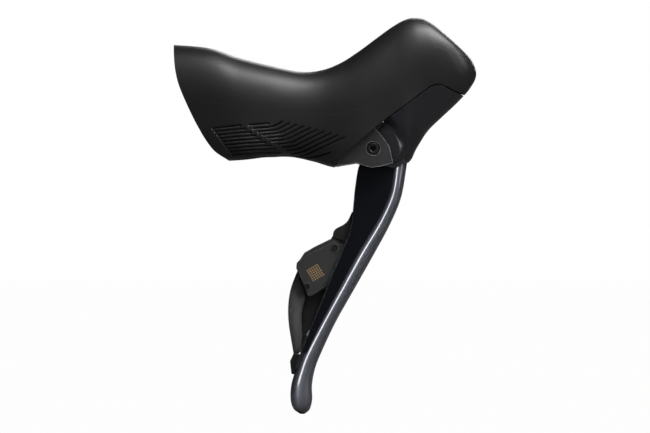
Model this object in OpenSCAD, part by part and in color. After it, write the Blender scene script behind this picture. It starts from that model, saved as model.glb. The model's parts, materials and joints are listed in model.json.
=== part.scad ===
// Hydraulic brake lever with electronic shift buttons for a drop handlebar, left hand.
// X points forward on the bicycle, Y outboard and Z up. The origin is the clamp's centre.

/* [Handlebar clamp] */
// Diameter of the handlebar in the clamp
bar_d = 23.8; // [23.4:0.1:24.0]
// Lean of the handlebar from the vertical, lower end forward
bar_lean = 25; // [24:0.5:26]
// Length of the saddle along the handlebar
saddle_l = 30; // [26:1:31]
// Width of the clamp band
band_w = 12; // [9:1:13]

/* [Hood] */
// Thickness of the rubber
hood_t = 2.2; // [1.8:0.1:2.4]
// Roundness of a cross-section's upper half
round_top = 2.5; // [2.2:0.1:2.8]
// Gap along the seam between the hood and the front cap
seam_gap = 0.5; // [0.3:0.1:0.8]

/* [Lever pivot] */
// Radius of the pivot axle
axle_r = 3; // [2.8:0.1:3.1]
// Distance from the middle plane to the inner face of an ear
ear_y = 9.4; // [9.4:0.1:9.8]
// Thickness of an ear
ear_t = 2.2; // [2:0.1:2.4]

/* [Master cylinder] */
// Angle of the cylinder above the horizontal
slide_angle = 50; // [48:1:52]
// Length of the brake arm from the axle to the roller
arm_r = 13; // [12.5:0.1:13.2]
// Angle through which the lever is pulled
pull_angle = 22; // [18:1:24]
// Radius of the cylinder's bore
bore_r = 4.6; // [4.2:0.1:4.8]
// Radius of the roller
roller_r = 3.2; // [3:0.1:3.3]

/* [Shift buttons] */
// Thickness of the wing that carries the switch unit
wing_t = 1.6; // [1.4:0.1:1.6]
// Angle through which a button is pressed
press_angle = 4; // [3:0.5:4]

/* [Hidden] */
$fn = 48;
sides = 28;
fit = 0.05;
bar_room = 1.2;
sleeve_r = 6;
oil_r = 0.9;
hose_seat_r = 4;
plug_y = [-6.6, -0.4];
bar_r = bar_d / 2;
pivot = [64.1, -15.5];
ear_out = ear_y + ear_t;

// Hood and front cap share one loft. A station holds the top point, the bottom point, half the
// width, how much the lower half narrows, and the roundness of the lower half.
body_stations = [
    [-31, 30.3, -11, -20.2, 18.6, 0.00, 5.5],
    [-8.5, 28.7, 3, -20.8, 18.8, 0.00, 5.5],
    [5.5, 24.3, 10, -20.5, 18.6, 0.00, 5.5],
    [19.5, 20.8, 18, -19.3, 17.8, 0.00, 5.0],
    [32.6, 18.2, 28, -19.0, 16.6, 0.00, 4.5],
    [41.8, 18.9, 38, -21.0, 16.0, 0.00, 5.0],
    [50.1, 22.1, 47.5, -23.6, 16.2, 0.00, 5.5],
    [57.5, 26.8, 59, -23.8, 16.6, 0.05, 5.0],
    [64.7, 32.1, 70, -23.5, 16.9, 0.25, 4.0],
    [71.5, 37.1, 79.4, -21.7, 17.0, 0.42, 3.2],
    [76.6, 40.2, 83.4, -15.1, 16.9, 0.46, 2.8],
    [80.5, 41.6, 88.2, -7.7, 16.6, 0.44, 2.6],
    [83.6, 41.8, 94.4, -1.6, 16.1, 0.38, 2.5],
    [86.4, 41.3, 100.8, 4.4, 15.4, 0.30, 2.4],
    [89.4, 39.8, 106.4, 10.6, 14.2, 0.20, 2.4],
    [92.6, 37.3, 109.3, 16.6, 12.2, 0.10, 2.3],
    [96.0, 34.3, 107.6, 22.8, 8.6, 0.00, 2.2],
    [99.0, 31.3, 103.6, 26.8, 3.0, 0.00, 2.2]];
rim = [[-22.9, 34], [-22.7, 29], [-21.6, 18], [-19, 9], [-12.2, -5.5], [-5.4, -16], [2, -21.5],
    [4, -26]];
seam = [[47.9, -30], [47.4, -21.4], [64.5, -6.6], [88.2, 11.2], [93.1, 12.9], [99.7, 9.9],
    [109.2, 6.8], [124, 4]];
blade_front = [[79.4, -18.6], [78.6, -25], [76.4, -37], [71.6, -48.6], [63.7, -63.2], [55.8, -77.2],
    [47.9, -91.2], [41.3, -105.2], [38.7, -112.2], [37.5, -119], [37.6, -125], [36.5, -129.4],
    [34.3, -131.4]];
blade_rear = [[72.6, -18.6], [72.2, -24.4], [70.6, -34.6], [65.4, -46.2], [56.8, -60.2], [48.8, -74.9],
    [40.6, -90.2], [33.3, -104.2], [30.6, -111.4], [28.5, -118.4], [28.1, -124.8], [29.4, -129.2],
    [32.3, -131.4]];
blade_half = [6, 6.2, 6.4, 6.4, 6.3, 6.1, 5.8, 5.4, 5.2, 5.1, 4.9, 4.0, 1.6];
wing_edge = [[58.2, -22.5], [56.4, -31.7], [55.5, -40.5], [54.5, -49.2], [51.2, -58.8], [45.7, -71.8],
    [41.4, -82.7], [36.2, -95.2], [32, -105.7]];

function mix(a, b, t) = a + (b - a) * t;
function spline_at(p, t) = let(n = len(p) - 1, i = min(floor(t), n - 1), f = t - i,
    a = p[max(i - 1, 0)], b = p[i], c = p[i + 1], d = p[min(i + 2, n)])
    0.5 * (2 * b + (c - a) * f + (2 * a - 5 * b + 4 * c - d) * f * f
        + (3 * b - a - 3 * c + d) * f * f * f);
function spline(p, steps) = [for (k = [0 : steps * (len(p) - 1)]) spline_at(p, k / steps)];
function reversed(p) = [for (i = [len(p) - 1 : -1 : 0]) p[i]];
function rounded(v, e) = sign(v) * pow(abs(v), 2 / e);
function quarter_turn(p) = [-p[1], p[0]];
function polar(r, a) = [r * cos(a), r * sin(a)];
function arc(centre, r, a0, a1, n) = [for (i = [0 : n]) centre + polar(r, mix(a0, a1, i / n))];

// A point of the side view, f forward of the handlebar's axis and t along it.
function bar_point(f, t) = f * [cos(bar_lean), sin(bar_lean)] + t * [sin(bar_lean), -cos(bar_lean)];
// A point of the side view, s along the cylinder and a across it, up and to the rear.
slide_dir = polar(1, slide_angle);
slide_side = quarter_turn(slide_dir);
slide_start = pivot + arm_r * slide_side;
function slide_point(s, a) = slide_start + s * slide_dir + a * slide_side;
roller_s = -arm_r * sin(pull_angle / 2);
roller_angle = slide_angle + 90 + pull_angle / 2;
roller_at = pivot + polar(arm_r, roller_angle);
foot_s = roller_s + roller_r + fit;

module at(p, y = 0) translate([p[0], y, p[1]]) children();
module along(p, angle, y = 0) at(p, y) rotate([0, 90 - angle, 0]) children();
module pin_y(p, r, y0, y1) at(p, y1) rotate([90, 0, 0]) cylinder(r = r, h = y1 - y0);
module plate(points, y0, y1) translate([0, y1, 0]) rotate([90, 0, 0]) linear_extrude(y1 - y0)
    polygon(points);
module both_sides() { children(); mirror([0, 1, 0]) children(); }
module on_bar(t) along(bar_point(0, t), bar_lean - 90) children();
module on_slide(s, a = 0, y = 0) along(slide_point(s, a), slide_angle, y) children();
module tube(r_out, r_in, h) difference() {
    cylinder(r = r_out, h = h);
    translate([0, 0, -1]) cylinder(r = r_in, h = h + 2);
}
module bush(p, r_out, r_in, y0, y1) at(p, y1) rotate([90, 0, 0]) tube(r_out, r_in, y1 - y0);

// A flat bar with round ends, two discs joined by their common tangents.
module link(p1, r1, p2, r2, y0, y1) {
    d = p2 - p1;
    u = d / norm(d);
    v = quarter_turn(u);
    s = (r1 - r2) / norm(d);
    c = sqrt(1 - s * s);
    pin_y(p1, r1, y0, y1);
    pin_y(p2, r2, y0, y1);
    plate([p1 + r1 * (s * u + c * v), p1 + r1 * (s * u - c * v),
        p2 + r2 * (s * u - c * v), p2 + r2 * (s * u + c * v)], y0, y1);
}

// A closed skin through rings that have the same number of points.
module skin(rings) {
    n = len(rings[0]);
    last = (len(rings) - 1) * n;
    polyhedron(points = [for (r = rings) each r], faces = concat(
        [[for (i = [n - 1 : -1 : 0]) i], [for (i = [0 : n - 1]) last + i]],
        [for (j = [0 : len(rings) - 2]) for (i = [0 : n - 1])
            let(a = j * n + i, b = j * n + (i + 1) % n) each [[a, b, b + n], [a, b + n, a + n]]]));
}

// A round wire wound into a helix round the z axis.
module coil(r, wire, turns, h, per_turn = 14, wire_sides = 6) {
    n = floor(turns * per_turn);
    skin([for (k = [0 : n]) let(a = 360 * k / per_turn, z = mix(wire, h - wire, k / n))
        [for (w = [0 : wire_sides - 1]) let(b = -360 * w / wire_sides, q = r + wire * cos(b))
            [q * cos(a), q * sin(a), z + wire * sin(b)]]]);
}

// The cross-section of the body at a station, inset from the outside.
function body_ring(s, inset) = let(top = [s[0], s[1]], bottom = [s[2], s[3]],
    half = (top - bottom) / 2, h = half * max(0.02, 1 - inset / norm(half)),
    middle = (top + bottom) / 2, w = max(0.1, s[4] - inset))
    [for (i = [0 : sides - 1]) let(a = 360 * i / sides, e = cos(a) > 0 ? round_top : s[6],
        z = rounded(cos(a), e), low = (1 - z) / 2)
        [middle[0] + h[0] * z, w * rounded(sin(a), e) * (1 - s[5] * low * low), middle[1] + h[1] * z]];
module body_loft(inset) {
    last = len(body_stations) - (inset > 0 ? 3 : 1);
    skin([for (s = spline([for (i = [0 : last]) body_stations[i]], 2)) body_ring(s, inset)]);
}

// The side view of the body shrunk towards its middle line.
function body_core(k, last) = let(s = [for (i = [2 : last]) body_stations[i]])
    concat([for (q = s) mix([q[2], q[3]], [q[0], q[1]], 0.5 + k / 2)],
        reversed([for (q = s) mix([q[2], q[3]], [q[0], q[1]], 0.5 - k / 2)]));

seam_normal = quarter_turn((seam[3] - seam[2]) / norm(seam[3] - seam[2]));
function seam_line(offset) = [for (p = seam) p + offset * seam_normal];
module below_seam(offset) plate(concat(seam_line(offset), [[140, -60], [40, -60]]), -40, 40);
module behind_rim() plate(concat([[-60, 60]], spline(rim, 4), [[-60, -60]]), -40, 40);

module hood() color("#2b2b2d") difference() {
    body_loft(0);
    body_loft(hood_t);
    below_seam(0);
    behind_rim();
    on_bar(-10) cylinder(r = bar_r + bar_room, h = 60);
}

ear_front = [[63.6, -5.4], [66.8, -9], [69.3, -12], [71.3, -15.5], [72.7, -21.8]];
module ears() both_sides() plate(concat([[50, -18.2], [54, 2], [62.5, 2]], spline(ear_front, 3),
    [[68, -23.1], [63.7, -23.9], [60.5, -23.1], [57, -21.8], [51.2, -22.8], [48.6, -22.6]]),
    ear_y, ear_out);
module saddle_block() {
    plate([bar_point(4.5, -saddle_l / 2), bar_point(11.5, -saddle_l / 2), bar_point(16, 0),
        bar_point(22, saddle_l / 2 + 1.5),
        bar_point(4.5, saddle_l / 2 + 1.5)], -bar_r + 0.6, bar_r - 0.6);
}
module arm_pocket() difference() {
    pin_y(pivot, 17.6, -ear_y, ear_y);
    on_slide(6.5) translate([-30, -30, 0]) cube([60, 60, 40]);
}
bolt_y = 12.4;
bolt_r = 1.5;
bolt_seat = 14.4;
module on_bolt(f) along(bar_point(f, 0), bar_lean, bolt_y) children();
module clamp_lug() along(bar_point(10.5, 0), bar_lean) translate([-5.5, 9, 0]) cube([11, 5.3, 3.9]);
electronics_box = [[23, -11], [42, -14], [46, 3], [24, 3]];
hose_y = 4;
hose_z = 9.5;
hose_x = 19;
module bracket_shell() difference() {
    union() {
        plate(body_core(0.44, 12), -10.6, 10.6);
        plate(body_core(0.67, 13), -9.8, 9.8);
        plate(body_core(0.81, 14), -5.4, 5.4);
    }
    below_seam(2.6);
    plate([[84, 0], [84, 17.5], [112, 17.5], [112, 0]], -20, 20);
    plate([[44, -40], [44, -26], [47, -18.2], [56, -8], [80, -8], [80, -40]], -ear_y, ear_y);
}
module bracket_body() color("#2f3033") difference() {
    union() {
        bracket_shell();
        ears();
        saddle_block();
        clamp_lug();
    }
    arm_pocket();
    on_bar(-saddle_l) cylinder(r = bar_r + fit, h = 2 * saddle_l);
    on_bar(saddle_l / 2) cylinder(r = bar_r + bar_room, h = 30);
    pin_y(pivot, axle_r + 0.02, -20, 20);
    on_slide(-4) cylinder(r = sleeve_r + 0.02, h = 41);
    on_bolt(0) cylinder(r = bolt_r + 0.1, h = 40);
    on_bolt(bolt_seat) cylinder(r = 2.4, h = 30);
    // Hose connection and the oil way to the cylinder
    translate([hose_x - 6.5, hose_y - 5, hose_z - 5]) cube([6.5, 10, 18]);
    translate([0, hose_y, hose_z]) rotate([0, 90, 0]) cylinder(r = 3, h = 15);
    translate([hose_x, hose_y, hose_z]) rotate([0, 90, 0]) cylinder(r = hose_seat_r + 0.02, h = 12);
    translate([hose_x, hose_y, hose_z]) rotate([0, 90, 0]) cylinder(r = oil_r, h = 46);
    // Reservoir, its lid's recess and the bleed port
    on_slide(12) translate([-12.4, -5.6, 0]) cube([4.9, 7.9, 19]);
    on_slide(10) translate([-30, -lid_half - 0.1, 0]) cube([18, 2 * lid_half + 0.2, lid_l + 0.4]);
    for (s = lid_screw_s, y = lid_screw_y) on_slide(s, 9, y) rotate([0, -90, 0])
        cylinder(r = 0.82, h = 5);
    translate([bleed_x, 0, 26]) cylinder(r = 2.52, h = 30);
    translate([bleed_x, 0, bleed_z]) cylinder(r = 4, h = 30);
    // Electronics
    plate(electronics_box, -20, 6);
    along(button_at, button_angle) translate([0, 0, -7]) cylinder(r = 3.05, h = 30);
}
lid_half = 7.7;
lid_l = 23;
lid_screw_s = [11.2, 32.2];
lid_screw_y = [-6.7, 6.7];
bleed_x = 78;
bleed_z = 32.8;
button_at = [96.5, 27.6];
button_angle = 30;

module main_axle() color("#c3c5c8") difference() {
    pin_y(pivot, axle_r, -ear_out + 0.9, ear_out);
    pin_y(pivot, 1.05, -ear_out, -4);
}
module axle_screw() color("#77797c") difference() {
    union() {
        pin_y(pivot, 2, -ear_out - 0.2, -ear_out + 0.85);
        pin_y(pivot, 1, -ear_out, -5);
    }
    at(pivot, -ear_out + 0.4) rotate([90, 0, 0]) cylinder(r = 1.16, h = 3, $fn = 6);
}
module cylinder_sleeve() color("#b9bbbe") difference() {
    on_slide(8) cylinder(r = sleeve_r, h = 28);
    on_slide(7) cylinder(r = bore_r, h = 27);
    on_slide(20) cylinder(r = 0.8, h = 30);
    translate([hose_x, hose_y, hose_z]) rotate([0, 90, 0]) cylinder(r = oil_r, h = 46);
    on_slide(25) rotate([0, -90, 0]) cylinder(r = 0.5, h = 10);
}
module piston_stop_ring() color("#8d8f92") on_slide(8.1) tube(bore_r - 0.01, 3, 1);
module reservoir_diaphragm() color("#1d1d1f") on_slide(10.2) translate([-12.9, -lid_half, 0])
    cube([0.85, 2 * lid_half, lid_l]);
module reservoir_lid() color("#3a3b3e") difference() {
    on_slide(10.2) translate([-14.2, -lid_half, 0]) cube([1.25, 2 * lid_half, lid_l]);
    for (s = lid_screw_s, y = lid_screw_y) on_slide(s, 9, y) rotate([0, -90, 0])
        cylinder(r = 0.82, h = 9);
}
module reservoir_lid_screws() color("#8d8f92") for (s = lid_screw_s, y = lid_screw_y)
    on_slide(s, 13, y) rotate([0, -90, 0]) cylinder(r = 0.78, h = 1.3);
module bleed_screw() color("#8d8f92") difference() {
    union() {
        translate([bleed_x, 0, bleed_z - 5]) cylinder(r = 2.5, h = 6);
        translate([bleed_x, 0, bleed_z + 0.9]) cylinder(r = 3.6, h = 1.5);
    }
    translate([bleed_x, 0, bleed_z + 1]) cylinder(r = 1.45, h = 3, $fn = 6);
}
module bleed_seal() color("#1d1d1f") translate([bleed_x, 0, bleed_z]) tube(3.6, 2.52, 0.85);

module hose_axis(x) translate([hose_x + x, hose_y, hose_z]) rotate([0, 90, 0]) children();
module hose_nut() color("#9a9ca0") difference() {
    union() {
        hose_axis(-0.2) cylinder(r = hose_seat_r - 0.02, h = 7.2);
        hose_axis(-5) cylinder(r = 4.6, h = 5, $fn = 6);
    }
    hose_axis(-6) cylinder(r = 2.55, h = 20);
}
module hose_olive() color("#b08d4c") hose_axis(7.2) tube(3.9, 2.55, 3.5);
module hose_insert() color("#c9a24f") hose_axis(10.75) tube(3.9, 1.0, 1.1);

module circuit_board() color("#1f5a3a") plate([[25, -9.5], [41, -12], [43.5, 1.5], [25.5, 1.5]], 3, 4);
module port_unit() color("#29292b") difference() {
    plate([[26, -8], [38, -10], [39.5, -3], [26.5, -3]], -9.5, 2.9);
    for (y = plug_y) translate([25, y, -5.4]) rotate([0, 90, 0]) cylinder(r = 1.7, h = 9);
}
module port_plugs() color("#101011") for (y = plug_y)
    translate([25.2, y, -5.4]) rotate([0, 90, 0]) cylinder(r = 1.68, h = 6);
module function_button() color("#39393c") along(button_at, button_angle) translate([0, 0, -3.2])
    cylinder(r = 3, h = 4.4);
module function_switch() color("#b9bbbe") along(button_at, button_angle) translate([0, 0, -6.9])
    cylinder(r = 2.9, h = 2.9);

// The band goes round the back of the handlebar and its two ends reach forward.
module clamp_band() color("#b9bbbe") difference() {
    intersection() {
        union() {
            on_bar(-band_w / 2) tube(bar_r + 1.05, bar_r + 0.1, band_w);
            for (y = [-bar_r - 1.05, bar_r + 0.1]) along(bar_point(0, 0), bar_lean)
                translate([-band_w / 2, y, 0]) cube([band_w, 0.95, 7.5]);
            along(bar_point(6.5, 0), bar_lean) translate([-band_w / 2, bar_r + 0.1, 0])
                cube([band_w, 3.4, 1.2]);
            along(bar_point(6.5, 0), bar_lean) translate([-band_w / 2, -bar_r - 2.1, 0])
                cube([band_w, 2, 1.2]);
        }
        along(bar_point(-20, 0), bar_lean) translate([-20, -20, 0]) cube([40, 40, 27.7]);
    }
    along(bar_point(2, 0), bar_lean) translate([-10, -11.4, 0]) cube([20, 22.8, 14]);
    on_bolt(0) cylinder(r = bolt_r + 0.1, h = 20);
    on_bolt(4.2) translate([-3.6, -1, 0]) cube([7.2, 4.6, 2.28]);
}
module clamp_bolt() color("#8d8f92") difference() {
    union() {
        on_bolt(5.2) cylinder(r = bolt_r, h = bolt_seat - 4.2);
        on_bolt(bolt_seat + 0.02) cylinder(r = 2.2, h = 2.8);
    }
    on_bolt(bolt_seat + 1.2) cylinder(r = 1.4, h = 4, $fn = 6);
}
module clamp_nut() color("#8d8f92") difference() {
    on_bolt(4.5) translate([-3.5, -0.9, 0]) cube([7, 3.4, 1.9]);
    on_bolt(0) cylinder(r = bolt_r + fit, h = 20);
}

module piston() color("#d3d4d6") difference() {
    on_slide(11) cylinder(r = bore_r - fit, h = 11);
    for (s = [12.4, 19.4]) on_slide(s) tube(6, 3.4, 1.9);
    on_slide(10) cylinder(r = 2.1, h = 4);
}
module piston_cup(s) color("#1d1d1f") on_slide(s) tube(bore_r - 0.03, 3.42, 1.8);
module primary_cup() piston_cup(19.45);
module secondary_cup() piston_cup(12.45);
module pushrod() color("#b9bbbe") {
    on_slide(foot_s) cylinder(r = 2.4, h = 1.5);
    on_slide(foot_s) cylinder(r = 2, h = 13.8 - foot_s);
}
module piston_spring() color("#a5a7aa") on_slide(22.1) coil(3.6, 0.35, 5, 11.8);
module dust_boot() color("#1d1d1f") on_slide(foot_s + 2)
    rotate_extrude() polygon([[2.2, 0], [3.6, 0.4], [3.0, 1.4], [4.4, 2.4], [3.8, 3.4], [5.4, 4.4],
        [4.8, 5.0], [3.4, 4.9], [3.2, 3.5], [3.8, 2.4], [2.4, 1.4], [2.9, 0.6], [2.2, 0.5]]);

// The reach screw sits in a lug of the arm and its tip pushes a lug of the blade.
reach_r = 11;
reach_angle = 60;
lug_apart = 28;
reach_at = pivot + polar(reach_r, reach_angle);
module on_reach(z) along(reach_at, reach_angle - 90) translate([0, 0, z]) children();
module brake_arm() color("#9fa1a5") difference() {
    union() {
        pin_y(pivot, 6.2, -4.6, 1.4);
        link(pivot, 5.4, roller_at, 2.7, -4.6, 1.4);
        link(pivot + polar(8.4, roller_angle), 3, roller_at, 2.7, -4.6, 4.6);
        link(pivot, 4.6, reach_at, 2.2, -3, 1.4);
    }
    pin_y(pivot, 4.02, -10, 10);
    pin_y(roller_at, roller_r + 0.5, -2.6, 2.6);
    plate([roller_at - 4 * slide_side, roller_at + 8 * slide_dir - 4 * slide_side,
        roller_at + 8 * slide_dir + 8 * slide_side, roller_at + 8 * slide_side], -2.6, 2.6);
    pin_y(roller_at, 1.22, -10, 10);
    on_reach(-10) translate([0, -0.8, 0]) cylinder(r = 1.3, h = 20);
}
module arm_bush() color("#b08d4c") bush(pivot, 4, axle_r + fit, -4.6, 1.4);
module roller() color("#d3d4d6") bush(roller_at, roller_r, 1.25, -2.45, 2.45);
module roller_pin() color("#b9bbbe") pin_y(roller_at, 1.2, -4.6, 4.6);
module return_spring() color("#a5a7aa") at(pivot, 4.6) rotate([90, 0, 0]) coil(4.4, 0.4, 3, 2.9, 16);
module reach_screw() color("#8d8f92") difference() {
    on_reach(-3.2) translate([0, -0.8, 0]) cylinder(r = 1.25, h = 7.2);
    on_reach(-4) translate([0, -0.8, 0]) cylinder(r = 0.75, h = 2.2, $fn = 6);
}

function blade_ring(t) = let(f = spline_at(blade_front, t), r = spline_at(blade_rear, t),
    w = spline_at(blade_half, t), m = (f + r) / 2, h = (f - r) / 2)
    [for (k = [0 : 19]) let(a = 18 * k)
        [m[0] + h[0] * rounded(cos(a), 2.3), w * rounded(sin(a), 2.3),
            m[1] + h[1] * rounded(cos(a), 2.3)]];
wing_y = -5;
cheek_in = 4.9;
cheek_out = 7.2;
module blade_wing() difference() {
    plate(concat([[73, -20]], [[62, -20]], spline(wing_edge, 2),
        [for (i = [7 : -1 : 1]) mix(blade_rear[i], blade_front[i], 0.3)]),
        wing_y, wing_y + wing_t);
    pin_y(pivot, 6.6, -cheek_in, 10);
}
module blade_cheek() plate(concat(arc(pivot, 6.3, 60, 270, 18), [[73, -24], [78, -22], [77.5, -15]]),
    cheek_in, cheek_out);
module reach_lug() {
    angle = reach_angle - lug_apart;
    at(pivot + polar(reach_r, angle)) rotate([0, -angle, 0]) translate([-2, -cheek_in - 0.1, -1])
        cube([4, 2 * cheek_in + 0.2, 2]);
    both_sides() plate([pivot + polar(5, angle + 10), pivot + polar(13, angle + 6),
        pivot + polar(13, angle - 8), [77, -15], [70, -15]], cheek_in, cheek_out);
}
module lever_blade() color("#3b414b") difference() {
    union() {
        skin([for (k = [0 : 24]) blade_ring(k / 2)]);
        blade_wing();
        both_sides() blade_cheek();
        reach_lug();
    }
    pin_y(pivot, 4.02, -12, 12);
    pin_y(cap_screw_at, 0.85, -12, 12);
}
module pivot_bushes() color("#b08d4c") both_sides() bush(pivot, 4, axle_r + fit, cheek_in, cheek_out);

cap_screw_at = [75.2, -18.8];
cap_zone = 11.4;
module front_cap() color("#1c1a20") difference() {
    intersection() {
        body_loft(0);
        plate(concat([for (i = [2 : len(seam) - 1]) seam_line(-seam_gap)[i]],
            [[140, -40], [86, -30], [79.8, -21.9], [73.2, -21.5]],
            arc(pivot, 7.5, -8, 60, 8)), -40, 40);
    }
    both_sides() pin_y(pivot, cap_zone, ear_y - 0.25, 40);
    both_sides() plate([[60, -24], [60, -4], [66, -7], arc(pivot, 7.5, 40, 40, 1)[0], [70, -15.5],
        [73.2, -22.3]], ear_y - 0.25, 30);
    difference() {
        body_loft(1.8);
        both_sides() pin_y(pivot, cap_zone + 1.8, cheek_out + 0.1, 40);
        plate([[60, -30], [60, -21], [78, -19.5], [84, -26]], cheek_out + 0.1, 40);
    }
    plate([[60, -30], [60, 0], [73.4, -6], [78.4, -14], [82, -30]], -cheek_out - 0.1, cheek_out + 0.1);
    pin_y(cap_screw_at, 0.85, -12, 12);
}
module front_cap_screws() color("#77797c") both_sides() pin_y(cap_screw_at, 0.8, 5.4, 8.6);

// Switch unit behind the wing
unit_y0 = -3.3;
lid_t = 0.9;
body_y1 = 1.8;
button_y = 3.3;
unit_outline = [[46.3, -54.6], [38.7, -58.3], [34.2, -60.9], [32.2, -63.9], [30.8, -65.4],
    [30.6, -67.6], [35.6, -79.6], [37.2, -79.9], [44.1, -76], [47.4, -69.6], [52, -61.5], [53.5, -57]];
lid_screw_at = [[47.5, -58.8], [35.4, -75.5]];
module switch_housing() color("#232427") difference() {
    plate(unit_outline, unit_y0 + lid_t + 0.02, body_y1);
    plate([[45, -58.8], [36, -62.8], [33.5, -67.2], [37.6, -76.6], [42.6, -73.6], [49, -62]],
        unit_y0, 0.6);
    for (p = lid_screw_at) pin_y(p, 0.72, unit_y0, 1.2);
    for (p = tact_at) pin_y(p, 1.3, 0, 3);
    plate([[45.6, -58.4], [45, -56.2], [48.8, -52.5], [51.8, -54.4], [48.6, -58]], -0.1, 3);
}
module switch_lid() color("#26282c") difference() {
    plate([[47, -56.2], [50.6, -57.8], [51, -59.6], [45.3, -72.4], [44, -75.2], [38.4, -78.6],
        [35.6, -79.2], [31.3, -68], [31.9, -65.2], [33.2, -63.2]], unit_y0, unit_y0 + lid_t);
    for (p = lid_screw_at) pin_y(p, 0.72, -5, 5);
    for (p = lid_screw_at) pin_y(p, 1.5, -5, unit_y0 + 0.3);
}
module switch_lid_screws() color("#b9bbbe") for (p = lid_screw_at) difference() {
    union() {
        pin_y(p, 1.4, unit_y0 - 0.5, unit_y0 + 0.28);
        pin_y(p, 0.7, unit_y0, 1.1);
    }
    at(p, unit_y0 + 0.1) rotate([90, 0, 0]) cylinder(r = 0.6, h = 2, $fn = 6);
}
tact_at = [[42, -66], [38.4, -70]];
module switch_board() color("#1f5a3a") plate([[44, -60.2], [37, -63.4], [34.6, -67.2], [37.9, -74.9],
    [41.8, -72.6], [47, -62.6]], -1.6, -0.8);
module tact_switches() color("#c3c5c8") for (p = tact_at) pin_y(p, 1.2, -0.7, 2.4);

// Both buttons turn on one thin axle that lies along the blade.
axle_top = [50.6, -67.4];
axle_end = [35.2, -96.6];
axle_y = 4.6;
button_dir = (axle_top - axle_end) / norm(axle_top - axle_end);
button_tilt = atan2(button_dir[1], button_dir[0]);
function axle_point(s) = axle_end + s * button_dir;
module on_button_axle(s) along(axle_point(s), button_tilt, axle_y) children();
module button_axle() color("#b9bbbe") on_button_axle(0)
    cylinder(r = 0.7, h = norm(axle_top - axle_end));
module front_button() color("#1f1f21") difference() {
    union() {
        plate(concat([axle_point(19.6)], [axle_point(2)],
            [[34.3, -97.2], [33.9, -90], [34.8, -84.2], [35.6, -81.2], [39.2, -80.2], [43.2, -78]]),
            button_y, 6.2);
        on_button_axle(2) cylinder(r = 1.6, h = 15.5);
    }
    on_button_axle(-2) cylinder(r = 0.75, h = 50);
}
paddle_outer = [[31.2, -68.6], [28.5, -75.6], [27.3, -81.5], [27, -87], [27.3, -92], [28, -97],
    [29.6, -106.3]];
paddle_inner = [[32.4, -104.6], [33.2, -97.3], [32.9, -89.9], [33.7, -84.2], [34.6, -80.6]];
module rear_button() color("#2d2e31") difference() {
    union() {
        plate(concat(spline(paddle_outer, 3), spline(paddle_inner, 3),
            [[43.4, -76.4], axle_point(22), axle_point(30), [44, -66.4], [36, -66]]), button_y, 6.4);
        plate(concat([[30.4, -71.4]], spline([for (i = [1 : 6]) paddle_outer[i]], 3),
            spline([for (i = [0 : 3]) paddle_inner[i]], 3), [[34.2, -81.6]]), 0.8, button_y + 0.2);
        on_button_axle(22) cylinder(r = 1.6, h = 8);
    }
    on_button_axle(-2) cylinder(r = 0.75, h = 50);
    plate(unit_outline, -6, body_y1 + 1.2);
}
module button_spring(p) color("#a5a7aa") at(p, button_y - 0.08) rotate([90, 0, 0])
    coil(1, 0.2, 2, button_y - body_y1 - 0.16, 10, 5);
module front_button_spring() button_spring([43.2, -75.3] + [-1.5, 0.2]);
module rear_button_spring() button_spring([35.2, -67.5]);
module switch_cable() color("#141416") {
    cable = spline([[47.2, -56.6], [50.4, -53.4], [56.4, -44], [59.6, -34], [60.6, -26.5],
        [62.5, -23.6]], 4);
    last = len(cable) - 1;
    skin([for (i = [0 : last])
        let(d = cable[min(i + 1, last)] - cable[max(i - 1, 0)], n = quarter_turn(d / norm(d)))
        [for (k = [0 : 9]) [cable[i][0] - n[0] * cos(36 * k), 1 + sin(-36 * k),
            cable[i][1] - n[1] * cos(36 * k)]]]);
}
module cable_boot() color("#1d1d1f") difference() {
    plate([[46.6, -54.2], [47.1, -51.6], [48.4, -50.2], [51.2, -48.7], [53.2, -46.8], [55, -43],
        [58.4, -44.5], [57.4, -50], [53.2, -55.6], [50, -56.4]], -3.2, 3.4);
    plate([[46, -58.6], [45, -57.2], [49.4, -52.9], [55.2, -43.6], [58.3, -35], [62, -35],
        [60.2, -40], [58, -45.6], [51.4, -54.6]], -0.1, 2.1);
    plate(unit_outline, unit_y0 + lid_t - 0.03, body_y1 + fit);
}
module end_block() color("#1d1d1f") plate([[30.2, -106.6], [28.2, -108.2], [28.7, -113.4],
    [29.6, -113.4], [30.4, -111.2], [31.7, -107]], -2.6, 4);

bracket_body();
hood();
main_axle();
axle_screw();
cylinder_sleeve();
piston_stop_ring();
reservoir_diaphragm();
reservoir_lid();
reservoir_lid_screws();
bleed_screw();
bleed_seal();
hose_nut();
hose_olive();
hose_insert();
circuit_board();
port_unit();
port_plugs();
function_button();
function_switch();
clamp_band();
clamp_bolt();
clamp_nut();
piston();
primary_cup();
secondary_cup();
pushrod();
piston_spring();
dust_boot();
brake_arm();
arm_bush();
roller();
roller_pin();
return_spring();
reach_screw();
lever_blade();
pivot_bushes();
front_cap();
front_cap_screws();
switch_housing();
switch_lid();
switch_lid_screws();
switch_board();
tact_switches();
front_button();
rear_button();
button_axle();
front_button_spring();
rear_button_spring();
switch_cable();
cable_boot();
end_block();
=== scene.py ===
"""Looks of a drop-bar brake and shift lever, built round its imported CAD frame.

Lengths are in millimetres, and a mesh turns them into Blender's metres when it is made. The lights
and the camera are in metres. A side-view point is (x, z). The near side is -Y, which is inboard.
"""
import json
import math

import bmesh
import bpy
import numpy as np
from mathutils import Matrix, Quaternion, Vector


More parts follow.
